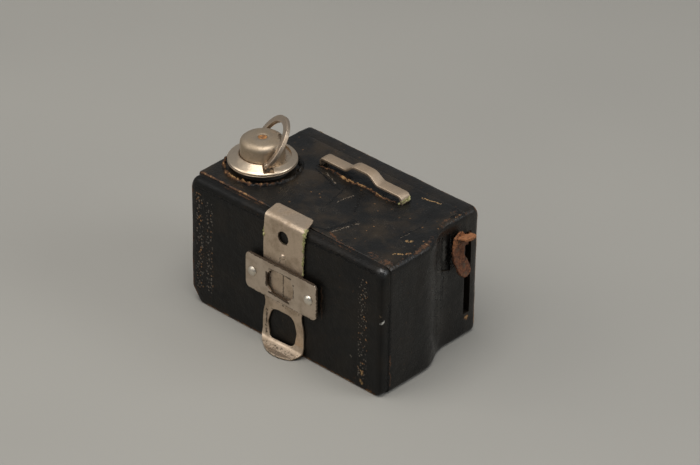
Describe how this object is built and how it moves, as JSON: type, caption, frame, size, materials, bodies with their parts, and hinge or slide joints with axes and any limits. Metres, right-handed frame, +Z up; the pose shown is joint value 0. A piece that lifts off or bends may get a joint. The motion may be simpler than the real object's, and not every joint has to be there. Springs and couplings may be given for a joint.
{
  "type": "box camera",
  "caption": "Small leather-covered roll-film box camera: winding key with folding ring, side shutter lever, lift-off lid with sliding latch, film chamber inside",
  "frame": {"origin": "centre of the base: middle of the width, middle of the depth from the lid's face to the front face, on the plane it stands on", "axes": "+X along the lid away from the winding key's end, +Y towards the lens front, +Z up"},
  "size_m": [0.1008, 0.0695, 0.076],
  "materials": {
    "covered_wood": "black grained leather glued over thin wood, worn through at the edges",
    "bare_wood": "plain thin wood inside the box",
    "black_card": "dead black card and painted sheet",
    "plated_metal": "dull plating, stained",
    "brass_parts": "plain brass",
    "rusty_steel": "rusted sheet steel",
    "steel_parts": "plain steel",
    "clear_glass": "clear polished",
    "ruby_glass": "deep red, see-through",
    "film_stock": "dark film and backing paper"
  },
  "bodies": {
    "box": {"body_shell": "covered_wood", "front_panel": "covered_wood", "front_screw_1": "brass_parts", "front_screw_2": "brass_parts", "front_screw_3": "brass_parts", "front_screw_4": "brass_parts", "lens_bezel": "plated_metal", "shutter_board": "bare_wood", "lens_cell": "brass_parts", "lens_element": "clear_glass", "lens_retaining_ring": "brass_parts", "shutter_rail_left": "black_card", "shutter_rail_right": "black_card", "rail_screw_left_1": "brass_parts", "rail_screw_left_2": "brass_parts", "rail_screw_right_1": "brass_parts", "rail_screw_right_2": "brass_parts", "light_cone": "black_card", "film_gate": "black_card", "spool_pin_takeup": "steel_parts", "spool_pin_supply_low": "steel_parts", "spool_pin_supply_high": "steel_parts", "roller_pin_left": "steel_parts", "roller_pin_right": "steel_parts", "film_tension_spring": "brass_parts", "key_collar": "brass_parts", "film_strip": "film_stock", "click_spring": "brass_parts", "click_spring_screw": "steel_parts", "strap_bridge": "plated_metal"},
    "winder": {"key_disc": "plated_metal", "key_hub": "plated_metal", "key_cap_screw": "rusty_steel", "key_ring_pin_back": "plated_metal", "key_ring_pin_front": "plated_metal", "key_shaft": "steel_parts", "ratchet_wheel": "brass_parts", "takeup_spool": "bare_wood", "takeup_film_roll": "film_stock"},
    "bail": {"key_ring": "plated_metal"},
    "supply": {"supply_spool": "bare_wood", "supply_film_roll": "film_stock"},
    "roller_left": {"guide_roller_left": "plated_metal"},
    "roller_right": {"guide_roller_right": "plated_metal"},
    "shutter": {"shutter_plate": "black_card", "shutter_lever": "rusty_steel", "lever_rivet_1": "brass_parts", "lever_rivet_2": "brass_parts"},
    "lid": {"back_lid": "covered_wood", "lid_rebate_frame": "bare_wood", "ruby_window": "ruby_glass", "window_retainer": "brass_parts", "latch_guide_plate": "plated_metal", "guide_rivet_left": "plated_metal", "guide_rivet_right": "plated_metal"},
    "latch": {"latch_strip": "plated_metal"}
  },
  "joints": [
    {"name": "key_turn", "type": "hinge", "parent": "box", "child": "winder", "pos_m": [-0.0352, -0.0064, 0.056], "axis": [0, 0, 1], "continuous": true, "deforming": ["click_spring"]},
    {"name": "bail_fold", "type": "hinge", "parent": "winder", "child": "bail", "pos_m": [-0.0352, -0.0064, 0.0617], "axis": [0.809, -0.5878, 0], "range_deg": [-44, 34]},
    {"name": "supply_turn", "type": "hinge", "parent": "box", "child": "supply", "pos_m": [0.0352, -0.0064, 0.028], "axis": [0, 0, 1], "continuous": true},
    {"name": "roller_left_turn", "type": "hinge", "parent": "box", "child": "roller_left", "pos_m": [-0.0306, -0.02148, 0.028], "axis": [0, 0, 1], "continuous": true},
    {"name": "roller_right_turn", "type": "hinge", "parent": "box", "child": "roller_right", "pos_m": [0.0306, -0.02148, 0.028], "axis": [0, 0, 1], "continuous": true},
    {"name": "shutter_slide", "type": "slide", "parent": "box", "child": "shutter", "axis": [0, 0, 1], "range_m": [-0.02, 0]},
    {"name": "lid_off", "type": "slide", "parent": "box", "child": "lid", "axis": [0, -1, 0], "range_m": [0, 0.03]},
    {"name": "latch_slide", "type": "slide", "parent": "lid", "child": "latch", "axis": [0, 0, 1], "range_m": [0, 0.017]}
  ],
  "couplings": [
    {"joint": "supply_turn", "follows": "key_turn", "ratio": 0.6892},
    {"joint": "roller_left_turn", "follows": "key_turn", "ratio": 2.55},
    {"joint": "roller_right_turn", "follows": "key_turn", "ratio": 2.55}
  ]
}
